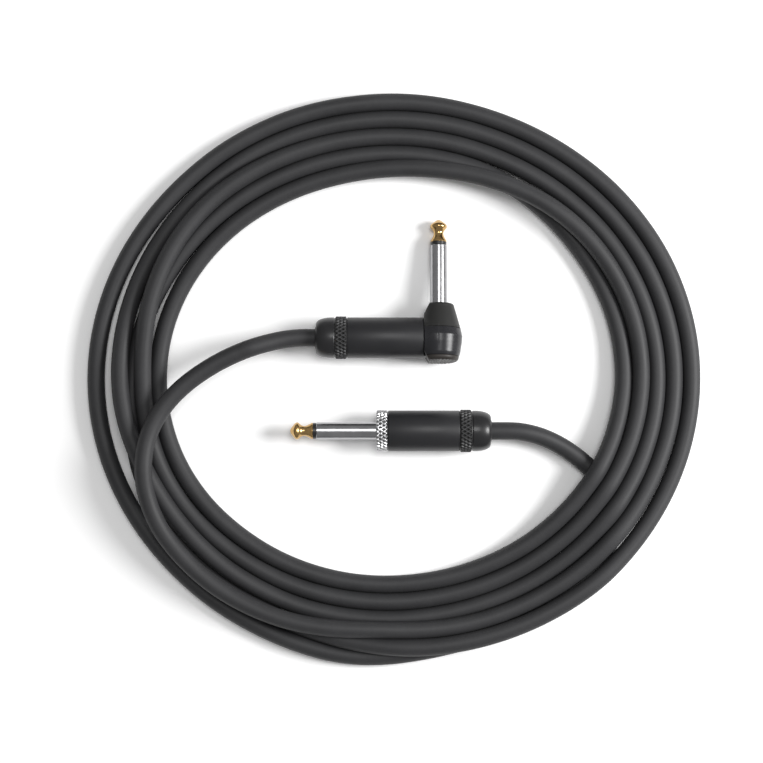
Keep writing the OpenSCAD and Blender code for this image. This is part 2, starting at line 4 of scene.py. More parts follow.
import bpy
import numpy as np
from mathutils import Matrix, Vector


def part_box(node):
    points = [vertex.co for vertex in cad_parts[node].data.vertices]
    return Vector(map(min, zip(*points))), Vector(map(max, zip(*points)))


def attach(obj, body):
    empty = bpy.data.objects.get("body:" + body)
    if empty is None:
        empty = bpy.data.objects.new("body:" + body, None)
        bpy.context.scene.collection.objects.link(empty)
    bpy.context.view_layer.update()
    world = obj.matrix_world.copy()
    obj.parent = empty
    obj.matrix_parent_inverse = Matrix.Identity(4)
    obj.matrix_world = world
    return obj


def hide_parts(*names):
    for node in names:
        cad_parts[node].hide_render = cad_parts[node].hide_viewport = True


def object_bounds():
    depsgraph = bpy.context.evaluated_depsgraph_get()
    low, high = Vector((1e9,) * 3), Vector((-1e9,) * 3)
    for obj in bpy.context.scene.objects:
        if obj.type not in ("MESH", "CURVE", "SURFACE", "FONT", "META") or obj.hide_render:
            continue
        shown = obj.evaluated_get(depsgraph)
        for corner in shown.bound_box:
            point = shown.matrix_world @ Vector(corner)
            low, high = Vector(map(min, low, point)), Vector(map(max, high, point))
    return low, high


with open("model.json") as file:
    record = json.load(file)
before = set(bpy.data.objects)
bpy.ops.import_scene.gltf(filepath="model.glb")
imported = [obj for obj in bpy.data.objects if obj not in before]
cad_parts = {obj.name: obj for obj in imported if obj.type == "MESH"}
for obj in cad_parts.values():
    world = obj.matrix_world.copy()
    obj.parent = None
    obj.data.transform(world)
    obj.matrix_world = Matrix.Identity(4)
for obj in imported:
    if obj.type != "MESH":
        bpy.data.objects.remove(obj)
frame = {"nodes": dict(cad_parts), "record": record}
cad_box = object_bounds()
mounts = {m["name"]: m for m in frame["record"]["mounts"]}
MM = 0.001

# ---------------------------------------------------------------------------
# Camera: straight above the coil, far enough back for a calm perspective, with +Y up.
# ---------------------------------------------------------------------------
VIEW_WIDTH = 0.2826
VIEW_LENS = 85.0
SENSOR = 36.0
VIEW_SHIFT = np.array([-4.8, -0.8]) * MM

coil_low, coil_high = (np.array(corner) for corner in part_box("cable_coil"))
coil_middle = (coil_low + coil_high) / 2
view = bpy.data.cameras.new("view")
view.sensor_width = SENSOR
view.lens = VIEW_LENS
camera = bpy.data.objects.new("view", view)
camera.location = (
    coil_middle[0] + VIEW_SHIFT[0],
    coil_middle[1] + VIEW_SHIFT[1],
    coil_middle[2] + VIEW_WIDTH * VIEW_LENS / SENSOR,
)
bpy.context.scene.collection.objects.link(camera)
bpy.context.scene.camera = camera
bpy.context.scene.view_settings.view_transform = "Standard"

# ---------------------------------------------------------------------------
# Cable: one length of 6.5 mm coaxial cable in a soft dark grey PVC jacket. It leaves the
# straight plug, runs under the bundle to its outer edge, winds five turns clockwise, lies up
# on the bundle and leaves it inwards to the right-angle plug.
# ---------------------------------------------------------------------------
CABLE_D = 6.5
CABLE_SIDES = 20

# Lengths along the cable, in mm: from ring to ring, held still at each end while it settles and
# let go after that, straight behind each plug, and over which the evening comes in after that
CABLE_STEP = 2.2
LEAD_HELD = 58.0
LEAD_FREED = 30.0
STRAIGHT_OUT = 24.0
ANGLE_OUT = 37.0
EVENING_IN = 40.0

# Both leads' routes, in mm behind the plug's own reference point. They are the routes of the
# frame's leads as far as those are seen, and then lie under the turns or up on them.
straight_low, straight_high = (np.array(corner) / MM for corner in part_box("straight_tip"))
straight_origin = np.array([
    straight_low[0],
    (straight_low[1] + straight_high[1]) / 2,
    (straight_low[2] + straight_high[2]) / 2,
])
angle_low, angle_high = (np.array(corner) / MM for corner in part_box("angle_barrel"))
pin_mount = np.array(mounts["angle_pin"]["pos_m"]) / MM
pin_way = np.array(mounts["angle_pin"]["axis"])
angle_origin = np.array([
    pin_mount[0],
    (angle_low[1] + angle_high[1]) / 2,
    (angle_low[2] + angle_high[2]) / 2,
])
STRAIGHT_ROUTE = [
    [58, 0, 0], [64, 0, 0], [70, 0, 0], [76, 0, 0], [81, 0, 0], [86, -0.3, -0.3],
    [93, -1.9, -1.6], [100, -5, -3.4], [107, -9.7, -4.5], [115.5, -16.8, -4.6], [120.3, -25.5, -4.6],
    [121.3, -35, -4.6], [119.3, -44, -4.6],
]
ANGLE_ROUTE = [
    [-14, 0, 0], [-22, 0, 0], [-30, 0, 0], [-38, 0, 0], [-46, 0, 0], [-51, 0, 0],
    [-58, -0.7, 0.8], [-67, -2.9, 3.3], [-76, -6.2, 6.3], [-84, -10.2, 8],
    [-92, -15.4, 8.3], [-99, -21.6, 8.1], [-105, -29.2, 7.9], [-108.6, -38, 7.7],
    [-109.8, -47, 7.7], [-108.6, -56, 7.7], [-106, -64.6, 7.5], [-102.6, -72, 7.2],
]

# Where each turn lies: clockwise angle from +Y, distance of its middle in from the bundle's
# outer edge in mm, and how high it is laid down, in cable diameters above the floor
OUTER_MIDDLE = np.array([1.5, -16.2])
OUTER_HALF = np.array([114.6, 104.9])
LANE_DEGREES = 3.0
TURNS = [
    [(135, 5.8, 0), (146, 5.2, 0), (160, 5.2, 0), (172, 5.2, 0)],
    [(180, 5.2, 0), (200, 4.4, 0), (216, 3.4, 0), (273, 3.2, 0), (323, 3.2, 0), (360, 3.2, 0),
     (420, 3.4, 0.1), (480, 3.9, 0.6), (520, 4.6, 1)],
    [(180, 5.4, 1), (200, 6.8, 0.6), (216, 9, 0), (240, 13, 0), (273, 18, 0), (300, 19, 0),
     (323, 19.3, 0), (360, 19.4, 0), (390, 22.5, 0), (420, 26.9, 0.1), (480, 28, 0.8),
     (520, 27.9, 0.6)],
    [(180, 27.8, 0), (216, 25.8, 0), (240, 25.6, 0), (273, 26, 0), (323, 26, 0),
     (360, 25.6, 0.3), (390, 23, 1.2), (420, 22, 1), (480, 23.7, 1.2), (520, 22, 0.8)],
    [(180, 21.1, 0.2), (216, 19.5, 0.2), (240, 19.3, 0.7), (273, 21, 1.1), (300, 17, 1.2),
     (323, 13.2, 1), (360, 12.9, 0.9), (420, 15.4, 0.7), (480, 18.3, 1.4), (520, 17, 1)],
    [(180, 15.6, 0.3), (216, 15.6, 0.9), (240, 15, 1.1), (273, 12.8, 0.8), (323, 9, 0.1),
     (360, 9.6, 0), (420, 9.8, 0.1), (480, 11.5, 0.8), (520, 10.8, 1.2)],
    [(180, 10.4, 1.3), (205, 7.6, 1.5), (222, 7.2, 1.6)],
]


def smooth_curve(points, per_span):
    """Catmull-Rom curve: each span is the cubic that passes through its two ends and leaves
    each end along the line between that end's two neighbours."""
    points = np.asarray(points, float)
    p = np.vstack([2 * points[0] - points[1], points, 2 * points[-1] - points[-2]])
    t = np.linspace(0, 1, per_span, endpoint=False)[None, :, None]
    a, b, c, d = (p[i:i + len(points) - 1, None] for i in range(4))
    spans = 0.5 * (2 * b + (c - a) * t + (2 * a - 5 * b + 4 * c - d) * t ** 2
                   + (3 * b - a - 3 * c + d) * t ** 3)
    return np.vstack([spans.reshape(-1, points.shape[1]), points[-1:]])


def even_steps(points, step):
    """The same polyline with its points one step apart."""
    along = np.r_[0, np.cumsum(np.linalg.norm(np.diff(points, axis=0), axis=1))]
    at = np.linspace(0, along[-1], int(round(along[-1] / step)) + 1)
    return np.stack([np.interp(at, along, column) for column in points.T], 1)


def evened(values, passes):
    """Each inner value becomes half itself and a quarter of each neighbour, passes times."""
    for _ in range(passes):
        values = np.vstack([
            values[:1],
            0.5 * values[1:-1] + 0.25 * (values[:-2] + values[2:]),
            values[-1:],
        ])
    return values


def eased(path, passes):
    """The path evened, but as it is where it comes straight out of each plug."""
    along = np.arange(len(path)) * CABLE_STEP
    out = np.minimum(along - STRAIGHT_OUT, along[-1] - along - ANGLE_OUT)
    return path + np.clip(out / EVENING_IN, 0, 1)[:, None] * (evened(path, passes) - path)


def wound_turns():
    """The turns as one polyline: a point every few degrees, on an ellipse that is the
    bundle's outer edge drawn in by the lane's distance."""
    keys = np.array([
        (angle + 360 * max(turn - 1, 0), inward, layer)
        for turn, lane in enumerate(TURNS)
        for angle, inward, layer in lane
    ])
    angle = np.arange(keys[0, 0], keys[-1, 0] + 1, LANE_DEGREES)
    inward = np.interp(angle, keys[:, 0], keys[:, 1])
    layer = np.interp(angle, keys[:, 0], keys[:, 2])
    lane = evened(np.stack([inward, layer], 1), 6)
    bearing = np.radians(angle)
    way = np.stack([np.sin(bearing), np.cos(bearing)], 1)
    flat = OUTER_MIDDLE + (OUTER_HALF - lane[:, :1]) * way
    return np.column_stack([flat, CABLE_D * (0.5 + lane[:, 1])])


def settled(path, rounds):
    """Lets the laid cable come to rest: it sinks a little each round, is drawn back to where
    it was laid, evens out its own bends, is pushed off the stretches that it touches, and
    stays on the floor. The two ends inside the plugs are held. The last fifth of the rounds
    sinks less, evens more and pushes more, so that the cable ends smooth and apart."""
    look_again = 10
    drawn_back = 0.97
    push_share = 0.6
    count = len(path)
    number = np.arange(count)
    along = number * CABLE_STEP
    from_end = np.minimum(along, along[-1] - along)
    free = np.clip((from_end - LEAD_HELD) / LEAD_FREED, 0, 1)[:, None]
    apart = int(CABLE_D * 3 / CABLE_STEP)
    laid = path.copy()
    for number_of_round in range(rounds):
        if number_of_round % look_again == 0:
            gaps = ((path[:, None] - path[None]) ** 2).sum(2)
            near = (gaps < (1.5 * CABLE_D) ** 2) & (number[None] - number[:, None] > apart)
            first, second = np.nonzero(near)
        last = number_of_round > 0.8 * rounds
        sink, evenings, pushes = (0.015, 10, 4) if last else (0.06, 4, 2)
        moved = path - laid
        moved[:, :2] *= drawn_back
        moved[:, 2] = path[:, 2] - sink
        moved = evened(moved, evenings)
        moved[:, :2] += laid[:, :2]
        path = path + free * (moved - path)
        for _ in range(pushes):
            between = path[second] - path[first]
            gap = np.linalg.norm(between, axis=1)
            hit = gap < CABLE_D
            push = push_share * (CABLE_D / gap[hit] - 1)[:, None] * between[hit]
            touches = np.bincount(np.r_[first[hit], second[hit]], minlength=count)
            shift = np.stack([
                np.bincount(second[hit], axis, count) - np.bincount(first[hit], axis, count)
                for axis in push.T
            ], 1)
            path = path + free * shift / np.maximum(touches, 1)[:, None]
            path[:, 2] = np.maximum(path[:, 2], CABLE_D / 2)
    return path


def ringed(name, rows, closed=False, lengths=None):
    """Mesh from rows of points, each row a ring that closes on itself. Neighbouring rows are
    joined by quads; the last row joins the first if closed, else both end rings are capped."""
    rows = np.asarray(rows, float)
    count, sides = rows.shape[:2]
    i, k = np.meshgrid(np.arange(count if closed else count - 1), np.arange(sides), indexing="ij")
    below, beside = (i + 1) % count, (k + 1) % sides
    quads = np.stack(
        [i * sides + k, i * sides + beside, below * sides + beside, below * sides + k], -1
    )
    faces = quads.reshape(-1, 4).tolist()
    if not closed:
        faces += [list(range(sides))[::-1], list(range((count - 1) * sides, count * sides))]
    mesh = bpy.data.meshes.new(name)
    mesh.from_pydata((rows.reshape(-1, 3) * MM).tolist(), [], faces)
    if lengths is not None:
        around = np.stack([k, k + 1, k + 1, k], -1) / sides
        run = np.stack([lengths[i], lengths[i], lengths[i + 1], lengths[i + 1]], -1)
        spread = np.stack([around, run], -1).reshape(-1, 2)
        spread = np.vstack([spread, np.zeros((2 * sides, 2))])
        mesh.uv_layers.new(name="along").data.foreach_set("uv", spread.ravel())
    mesh.shade_smooth()
    mesh.set_sharp_from_angle(angle=math.radians(35))
    piece = bpy.data.objects.new(name, mesh)
    bpy.context.scene.collection.objects.link(piece)
    return piece


def cable_rings(path):
    """A circle square to the path at each of its points, started from the side that is level."""
    way = np.gradient(path, axis=0)
    way /= np.linalg.norm(way, axis=1)[:, None]
    side = np.cross(way, [0, 0, 1])
    side /= np.linalg.norm(side, axis=1)[:, None]
    up = np.cross(side, way)
    turn = np.linspace(0, 2 * np.pi, CABLE_SIDES, endpoint=False)[None, :, None]
    return path[:, None] + CABLE_D / 2 * (side[:, None] * np.cos(turn) + up[:, None] * np.sin(turn))


class Value:
    """A shader socket that takes part in sums: an operator adds the Math node it stands for."""

    def __init__(self, finish, socket):
        self.finish = finish
        self.socket = socket

    def math(self, operation, *others):
        inputs = [self] + list(others)
        return self.finish.node("ShaderNodeMath", {"operation": operation}, dict(enumerate(inputs)))

    def __add__(self, other):
        return self.math("ADD", other)

    def __rsub__(self, other):
        return (self * -1) + other

    def __mul__(self, other):
        return self.math("MULTIPLY", other)

    __radd__ = __add__
    __rmul__ = __mul__


class Finish:
    """A material under one Principled shader. node() makes any other node from its type, its
    settings and the values or links of its sockets, and gives back one output as a Value."""

    def __init__(self, name, **sockets):
        self.material = bpy.data.materials.new(name)
        self.material.use_nodes = True
        self.tree = self.material.node_tree
        self.shader = self.tree.nodes["Principled BSDF"]
        self.set(**sockets)

    def put(self, socket, value):
        if isinstance(value, Value):
            self.tree.links.new(value.socket, socket)
        else:
            socket.default_value = value

    def set(self, **sockets):
        for name, value in sockets.items():
            self.put(self.shader.inputs[name.replace("_", " ")], value)

    def node(self, kind, settings=None, inputs=None, output=0):
        made = self.tree.nodes.new(kind)
        for name, value in (settings or {}).items():
            setattr(made, name, value)
        for name, value in (inputs or {}).items():
            self.put(made.inputs[name], value)
        return Value(self, made.outputs[output])

    def place(self, output="Object"):
        return self.node("ShaderNodeTexCoord", output=output)

    def parts(self, vector):
        split = self.node("ShaderNodeSeparateXYZ", {}, {0: vector}).socket.node
        return [Value(self, out) for out in split.outputs]

    def noise(self, where, scale, detail=3.0, roughness=0.55):
        sockets = {"Vector": where, "Scale": scale, "Detail": detail, "Roughness": roughness}
        return self.node("ShaderNodeTexNoise", {}, sockets)

    def blend(self, amount, low, high):
        settings = {"data_type": "RGBA", "clamp_factor": True}
        return self.node("ShaderNodeMix", settings, {"Factor": amount, 6: low, 7: high}, output=2)

    def range(self, value, low, high, new_low, new_high):
        sockets = {"Value": value, 1: low, 2: high, 3: new_low, 4: new_high}
        return self.node("ShaderNodeMapRange", {"clamp": True}, sockets)

    def bump(self, height, depth, strength=1.0):
        sockets = {"Height": height, "Distance": depth, "Strength": strength}
        self.set(Normal=self.node("ShaderNodeBump", {}, sockets))


def jacket_finish():
    """Extruded PVC: a dark grey that hardly varies, a broad soft sheen, a fine eggshell grain
    and faint draw lines that run along the cable."""
    finish = Finish("cable_jacket", Specular_IOR_Level=0.35)
    where = finish.place()
    around, run, _ = finish.parts(finish.place("UV"))
    cloud = finish.noise(where, 55.0)
    dust = finish.noise(where, 900.0, detail=2.0)
    grain = finish.noise(where, 2600.0, detail=2.0)
    lines = finish.node("ShaderNodeCombineXYZ", {}, {0: around * 46.0, 1: run * 6.0})
    drawn = finish.noise(lines, 1.0, detail=2.0)
    tone = finish.range(cloud * 0.7 + dust * 0.3, 0.3, 0.7, 0.0, 1.0)
    finish.set(
        Base_Color=finish.blend(tone, (0.024, 0.024, 0.0255, 1), (0.035, 0.035, 0.037, 1)),
        Roughness=finish.range(cloud * 0.5 + drawn * 0.5, 0.3, 0.7, 0.50, 0.62),
    )
    finish.bump(grain * 0.6 + drawn * 0.4, 0.00006, 0.45)
    return finish.material


laid = np.vstack([
    np.array(STRAIGHT_ROUTE) + straight_origin,
    wound_turns(),
    (np.array(ANGLE_ROUTE) + angle_origin)[::-1],
])
laid = eased(even_steps(smooth_curve(laid, 12), CABLE_STEP), 30)
cable_path = eased(settled(laid, 600), 4)
cable_path = even_steps(smooth_curve(cable_path, 3), CABLE_STEP)
cable_run = np.r_[0, np.cumsum(np.linalg.norm(np.diff(cable_path, axis=0), axis=1))] * MM
cable = ringed("cable", cable_rings(cable_path), lengths=cable_run)
cable.data.materials.append(jacket_finish())
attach(cable, "root")
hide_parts("cable_coil", "cable_lead_straight", "cable_lead_angle")
(cable_path * MM).tolist()

# ---------------------------------------------------------------------------
# Plug pins: a gold-plated tip turned with a ball and a neck, a black insulating ring, and a
# bright nickel sleeve. They are riveted together through the plug and don't come apart.
# ---------------------------------------------------------------------------
TIP_LENGTH = 8.4
RING_LENGTH = 1.3
PIN_RADIUS = 3.175
PIN_LENGTH = 31.75
SLEEVE_ROOT = 2.0
SLEEVE_BORE = 1.85
ROD_RADIUS = 1.2
RING_RADIUS = 2.98
RING_FOOT = 2.9
TURNED_SIDES = 96
TIP_LAND = 7.8
TIP_OUTLINE = [
    (0.0, 0.3), (0.12, 0.75), (0.5, 1.32), (1.0, 2.0), (1.6, 2.72), (2.05, 3.06), (2.5, 3.175),
    (2.95, 3.1), (3.4, 2.78), (3.9, 2.32), (4.5, 1.96), (5.1, 1.84), (5.7, 1.9), (6.3, 2.14),
    (6.9, 2.44), (7.4, 2.66),
]


def turned(name, outline, origin, way, sides=TURNED_SIDES, closed=False, grow=None):
    """Body turned about the line from origin along way. outline gives distance and radius;
    each ring is level side * cos + up * sin. grow adds to a radius, from angle and distance,
    and the attribute rise keeps what it added, in mm."""
    outline = np.asarray(outline, float)
    way = np.asarray(way, float) / np.linalg.norm(way)
    across = np.cross(way, [0, 0, 1])
    across /= np.linalg.norm(across)
    up = np.cross(across, way)
    angle = np.linspace(0, 2 * np.pi, sides, endpoint=False)[None, :]
    radius = np.repeat(outline[:, 1:], sides, 1)
    added = np.zeros_like(radius) if grow is None else grow(angle, outline[:, :1])
    centre = np.asarray(origin) + outline[:, :1] * way
    ring = across * np.cos(angle)[..., None] + up * np.sin(angle)[..., None]
    piece = ringed(name, centre[:, None] + (radius + added)[..., None] * ring, closed)
    rise = piece.data.attributes.new("rise", "FLOAT", "POINT")
    rise.data.foreach_set("value", added.ravel())
    return piece


def gold_finish():
    """Polished gold plating: warm, slightly deeper in colour where the plating is thin, with
    the fine rings that the cutting tool left."""
    finish = Finish("gold_plating", Metallic=1.0)
    where = finish.place()
    cloud = finish.noise(where, 420.0)
    x, y, _ = finish.parts(where)
    rings = (x * 6000.0 + y * 6000.0).math("SINE") * 0.5 + 0.5
    finish.set(
        Base_Color=finish.blend(cloud, (0.42, 0.25, 0.09, 1), (0.66, 0.45, 0.20, 1)),
        Roughness=finish.range(cloud, 0.3, 0.7, 0.16, 0.26),
    )
    finish.bump(rings * 0.5 + cloud * 0.5, 0.00002, 0.4)
    return finish.material


def nickel_finish():
    """Bright nickel plating over a turned sleeve, a little hazy from handling."""
    finish = Finish("nickel_plating", Metallic=1.0)
    where = finish.place()
    haze = finish.noise(where, 260.0)
    x, y, _ = finish.parts(where)
    rings = finish.noise(finish.node("ShaderNodeCombineXYZ", {}, {0: x * 9000.0, 1: y * 9000.0}), 1.0)
    finish.set(
        Base_Color=finish.blend(haze, (0.36, 0.36, 0.37, 1), (0.46, 0.46, 0.47, 1)),
        Roughness=finish.range(haze * 0.8 + rings * 0.2, 0.3, 0.7, 0.2, 0.27),
    )
    finish.bump(rings, 0.000002, 0.2)
    return finish.material


def ring_finish():
    """Black moulded nylon, glossy from the mould with a slight ripple."""
    finish = Finish("ring_nylon")
    ripple = finish.noise(finish.place(), 700.0)
    finish.set(
        Base_Color=finish.blend(ripple, (0.010, 0.010, 0.011, 1), (0.018, 0.018, 0.019, 1)),
        Roughness=finish.range(ripple, 0.3, 0.7, 0.25, 0.4),
    )
    finish.bump(ripple, 0.00003, 0.3)
    return finish.material


gold = gold_finish()
nickel = nickel_finish()
ring_nylon = ring_finish()
straight_way = np.array([1.0, 0.0, 0.0])
angle_way = -pin_way
pin_middle_back = (TIP_LAND + PIN_LENGTH) / 2
angle_tip_point = pin_mount + pin_way * pin_middle_back


def plug_pin(plug, point, way):
    """Tip, ring and sleeve of one plug, from the tip's point along way."""
    front = smooth_curve(TIP_OUTLINE, 5)
    seat = TIP_LENGTH + RING_LENGTH
    tip_rows = np.vstack([front, [
        (7.55, 2.68), (7.6, 2.86), (TIP_LAND, 3.0), (TIP_LENGTH - 0.12, 3.0), (TIP_LENGTH, 2.88),
        (TIP_LENGTH, ROD_RADIUS),
    ]])
    tip = turned(plug + "_tip_turned", tip_rows, point, way)
    ring_rows = [
        (TIP_LENGTH, ROD_RADIUS), (TIP_LENGTH, RING_FOOT), (TIP_LENGTH + 0.1, RING_RADIUS),
        (seat - 0.1, RING_RADIUS), (seat, RING_FOOT), (seat, ROD_RADIUS),
    ]
    ring = turned(plug + "_ring_turned", ring_rows, point, way, closed=True)
    sleeve_rows = [
        (seat, SLEEVE_BORE), (seat, PIN_RADIUS - 0.15), (seat + 0.15, PIN_RADIUS),
        (PIN_LENGTH + SLEEVE_ROOT, PIN_RADIUS), (PIN_LENGTH + SLEEVE_ROOT, SLEEVE_BORE),
    ]
    sleeve = turned(plug + "_sleeve_turned", sleeve_rows, point, way, closed=True)
    for piece, material, slot, node in (
        (tip, gold, "gold", "tip"),
        (ring, ring_nylon, "ring_black", "tip_ring"),
        (sleeve, nickel, "nickel", "sleeve"),
    ):
        piece.data.materials.append(material)
        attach(piece, "root")
        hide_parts(plug + "_" + node)


plug_pin("straight", straight_origin, straight_way)
plug_pin("angle", angle_tip_point, angle_way)

# ---------------------------------------------------------------------------
# Collar: the bright plated ring at the root of the straight plug's pin. It is cut with a
# coarse diamond knurl to grip, and the barrel screws onto the thread behind it.
# ---------------------------------------------------------------------------
COLLAR_LENGTH = 4.3
COLLAR_RADIUS = 7.65
COLLAR_THREAD = 5.0
COLLAR_CORE_BORE = 1.86
PIN_BORE = 3.25
SPIGOT_RADIUS = 6.17
THREAD_PITCH = 1.0
THREAD_DEPTH = 0.35
KNURL_CELLS = 32
KNURL_CELL_LENGTH = 2.5
KNURL_DEPTH = 0.5
KNURL_FOOT = 0.52
KNURL_ROWS = 36
KNURL_SIDES = KNURL_CELLS * 12


def knurl(start, end, edge=0.25):
    """Crossed knurl: two sets of helical ribs, one each way round. Height follows a rounded
    peak where a set's phase, cells * angle / turn +- distance / cell, is whole, and the ribs
    run out over edge at both ends."""

    def height(angle, distance):
        turn = KNURL_CELLS * angle / (2 * np.pi)
        along = (distance - start) / KNURL_CELL_LENGTH
        ribs = [np.abs(((turn + sign * along) % 1.0) * 2 - 1) for sign in (1, -1)]
        peak = np.maximum(ribs[0], ribs[1])
        rise = np.clip((peak - 0.25) / 0.65, 0, 1)
        rise = rise * rise * (3 - 2 * rise)
        fade = np.clip(np.minimum(distance - start, end - distance) / edge, 0, 1)
        return KNURL_DEPTH * (rise * fade - 1)

    def masked(angle, distance):
        inside = (distance >= start - 1e-6) & (distance <= end + 1e-6)
        return np.where(inside, height(angle, distance), 0.0)

    return masked


def threads(start, end, radius):
    """Outline of a screw thread drawn as rings: a V groove in every pitch."""
    crests = np.arange(start, end - THREAD_PITCH + 1e-6, THREAD_PITCH)
    return [
        point
        for at in crests
        for point in (
            (at, radius),
            (at + THREAD_PITCH / 2, radius - THREAD_DEPTH),
            (at + THREAD_PITCH, radius),
        )
    ]


def collar_finish():
    """Bright chrome on brass: almost white on the ribs, with painted shade that makes it dark down
    between them, where the attribute rise is lowest, and duller there."""
    finish = Finish("collar_chrome", Metallic=1.0)
    cloud = finish.noise(finish.place(), 600.0)
    rise = finish.node("ShaderNodeAttribute", {"attribute_name": "rise"}, output=2)
    ridge_above_painted_shade = finish.range(rise + cloud * 0.1, 0.05 - KNURL_DEPTH, 0.0, 0.0, 1.0)
    # Painted shade: the colour falls to near black down between the knurl's ribs and is bright chrome on
    # them.
    finish.set(
        Base_Color=finish.blend(ridge_above_painted_shade, (0.05, 0.05, 0.052, 1), (0.80, 0.80, 0.81, 1)),
        Roughness=0.34 - ridge_above_painted_shade * 0.16 + cloud * 0.05,
    )
    finish.bump(cloud, 0.00002, 0.3)
    return finish.material


collar_front = straight_origin + PIN_LENGTH * straight_way
knurled = [(at, COLLAR_RADIUS) for at in np.linspace(0.15, COLLAR_LENGTH - 0.15, KNURL_ROWS)]
collar_rows = (
    [(0, PIN_BORE), (0, COLLAR_RADIUS - 0.7), (0.1, COLLAR_RADIUS - KNURL_FOOT)]
    + knurled
    + [(COLLAR_LENGTH - 0.1, COLLAR_RADIUS - KNURL_FOOT), (COLLAR_LENGTH, COLLAR_RADIUS - 0.7)]
    + threads(COLLAR_LENGTH, COLLAR_LENGTH + COLLAR_THREAD, SPIGOT_RADIUS)
    + [(COLLAR_LENGTH + COLLAR_THREAD, COLLAR_CORE_BORE), (SLEEVE_ROOT, COLLAR_CORE_BORE),
       (SLEEVE_ROOT, PIN_BORE)]
)
collar = turned(
    "straight_collar_knurled", collar_rows, collar_front, straight_way,
    sides=KNURL_SIDES, closed=True, grow=knurl(0.15, COLLAR_LENGTH - 0.15),
)
collar.data.materials.append(collar_finish())
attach(collar, "root")
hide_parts("straight_collar")

# ---------------------------------------------------------------------------
# Barrels: turned brass tubes in satin black. The straight plug's barrel unscrews from the
# collar, and the right-angle plug's is screwed tight into the head. The gland nut screws
# onto the thread at the cable end.
# ---------------------------------------------------------------------------
BARREL_RADIUS = 7.5
BARREL_BORE = 6.2
GLAND_BORE = 5.5
GLAND_BORE_LENGTH = 6.3
GLAND_THREAD_RADIUS = 6.6
GLAND_THREAD = 4.0
FACE_GAP = 0.1
CHAMFER = 0.22
CHAMFER_EASE = 0.07
STRAIGHT_BARREL_LENGTH = 26.5
ANGLE_BARREL_LENGTH = 28.3
ARM_LENGTH = 5.6


def satin_black_finish():
    """Satin black lacquer on metal: near black with a tone that varies a little from place to place, an
    even soft sheen and a fine orange peel."""
    finish = Finish("barrel_black", Specular_IOR_Level=0.4)
    where = finish.place()
    peel = finish.noise(where, 1500.0, detail=2.0)
    cloud = finish.noise(where, 90.0)
    finish.set(
        Base_Color=finish.blend(cloud, (0.013, 0.013, 0.0145, 1), (0.019, 0.019, 0.021, 1)),
        Roughness=finish.range(cloud * 0.6 + peel * 0.4, 0.3, 0.7, 0.38, 0.48),
    )
    finish.bump(peel, 0.00004, 0.35)
    return finish.material


satin_black = satin_black_finish()


def barrel(plug, nut_face, way, length, body):
    """Outside with a small chamfer at both ends, the gland thread behind it, and the bores."""
    front = -length + FACE_GAP
    rear = -FACE_GAP
    corner = BARREL_RADIUS - CHAMFER
    eased_corner = BARREL_RADIUS - CHAMFER_EASE
    rows = (
        [(front, BARREL_BORE + 0.05), (front, corner), (front + CHAMFER_EASE, eased_corner),
         (front + CHAMFER, BARREL_RADIUS), (rear - CHAMFER, BARREL_RADIUS),
         (rear - CHAMFER_EASE, eased_corner), (rear, corner), (rear, GLAND_THREAD_RADIUS)]
        + threads(0, GLAND_THREAD, GLAND_THREAD_RADIUS)
        + [(GLAND_THREAD, GLAND_BORE), (-GLAND_BORE_LENGTH, GLAND_BORE),
           (-GLAND_BORE_LENGTH, BARREL_BORE)]
    )
    piece = turned(plug + "_barrel_turned", rows, nut_face, way, closed=True)
    piece.data.materials.append(satin_black)
    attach(piece, body)
    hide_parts(plug + "_barrel")


straight_nut_face = collar_front + (COLLAR_LENGTH + STRAIGHT_BARREL_LENGTH) * straight_way
angle_cable_way = np.array([-1.0, 0.0, 0.0])
angle_nut_face = angle_origin + (ARM_LENGTH + ANGLE_BARREL_LENGTH) * angle_cable_way
barrel("straight", straight_nut_face, straight_way, STRAIGHT_BARREL_LENGTH, "straight_barrel_turn")
barrel("angle", angle_nut_face, angle_cable_way, ANGLE_BARREL_LENGTH, "root")

# ---------------------------------------------------------------------------
# Gland nuts: black metal, a knurled ring to turn and a glossy dome behind it. Screwing one
# down closes the chuck on the cable. A soft ring in its mouth keeps the cable off the edge.
# ---------------------------------------------------------------------------
NUT_RING_LENGTH = 4.5
NUT_RING_RADIUS = 7.85
DOME_LENGTH = 7.0
DOME_FLAT = 1.3
DOME_END_RADIUS = 5.2
GROMMET_RADIUS = 4.3
GROMMET_LENGTH = 2.4
GROMMET_BORE = 3.42
NUT_THREAD_BORE = 6.68
NUT_CABLE_BORE = 3.6


def nut_finish():
    """Black lacquer: dull grey over the knurl's ribs, with painted shade almost black down between them
    where the attribute rise is lowest, and glossy over the dome. The attribute dome is 0 on the knurl
    and 1 on the dome."""
    finish = Finish("nut_black", Coat_Roughness=0.12, Specular_IOR_Level=0.35)
    where = finish.place()
    dome = finish.node("ShaderNodeAttribute", {"attribute_name": "dome"}, output=2)
    cloud = finish.noise(where, 160.0)
    peel = finish.noise(where, 1300.0, detail=2.0)
    rise = finish.node("ShaderNodeAttribute", {"attribute_name": "rise"}, output=2)
    ridge_above_painted_shade = finish.range(rise, 0.05 - KNURL_DEPTH, 0.0, 0.0, 1.0)
    knurl_rib_tone = finish.blend(cloud, (0.030, 0.030, 0.031, 1), (0.050, 0.050, 0.051, 1))
    # Painted shade: down between the knurl's ribs the colour falls to almost black.
    knurl_with_painted_shade = finish.blend(ridge_above_painted_shade, (0.005, 0.005, 0.005, 1), knurl_rib_tone)
    glossy = finish.blend(cloud, (0.012, 0.012, 0.013, 1), (0.017, 0.017, 0.018, 1))
    finish.set(
        Base_Color=finish.blend(dome, knurl_with_painted_shade, glossy),
        Roughness=(1 - dome) * 0.36 + dome * 0.33 + cloud * 0.05,
        Coat_Weight=dome * 0.12,
    )
    finish.bump(peel, 0.00003, 0.25)
    return finish.material


nut_black = nut_finish()


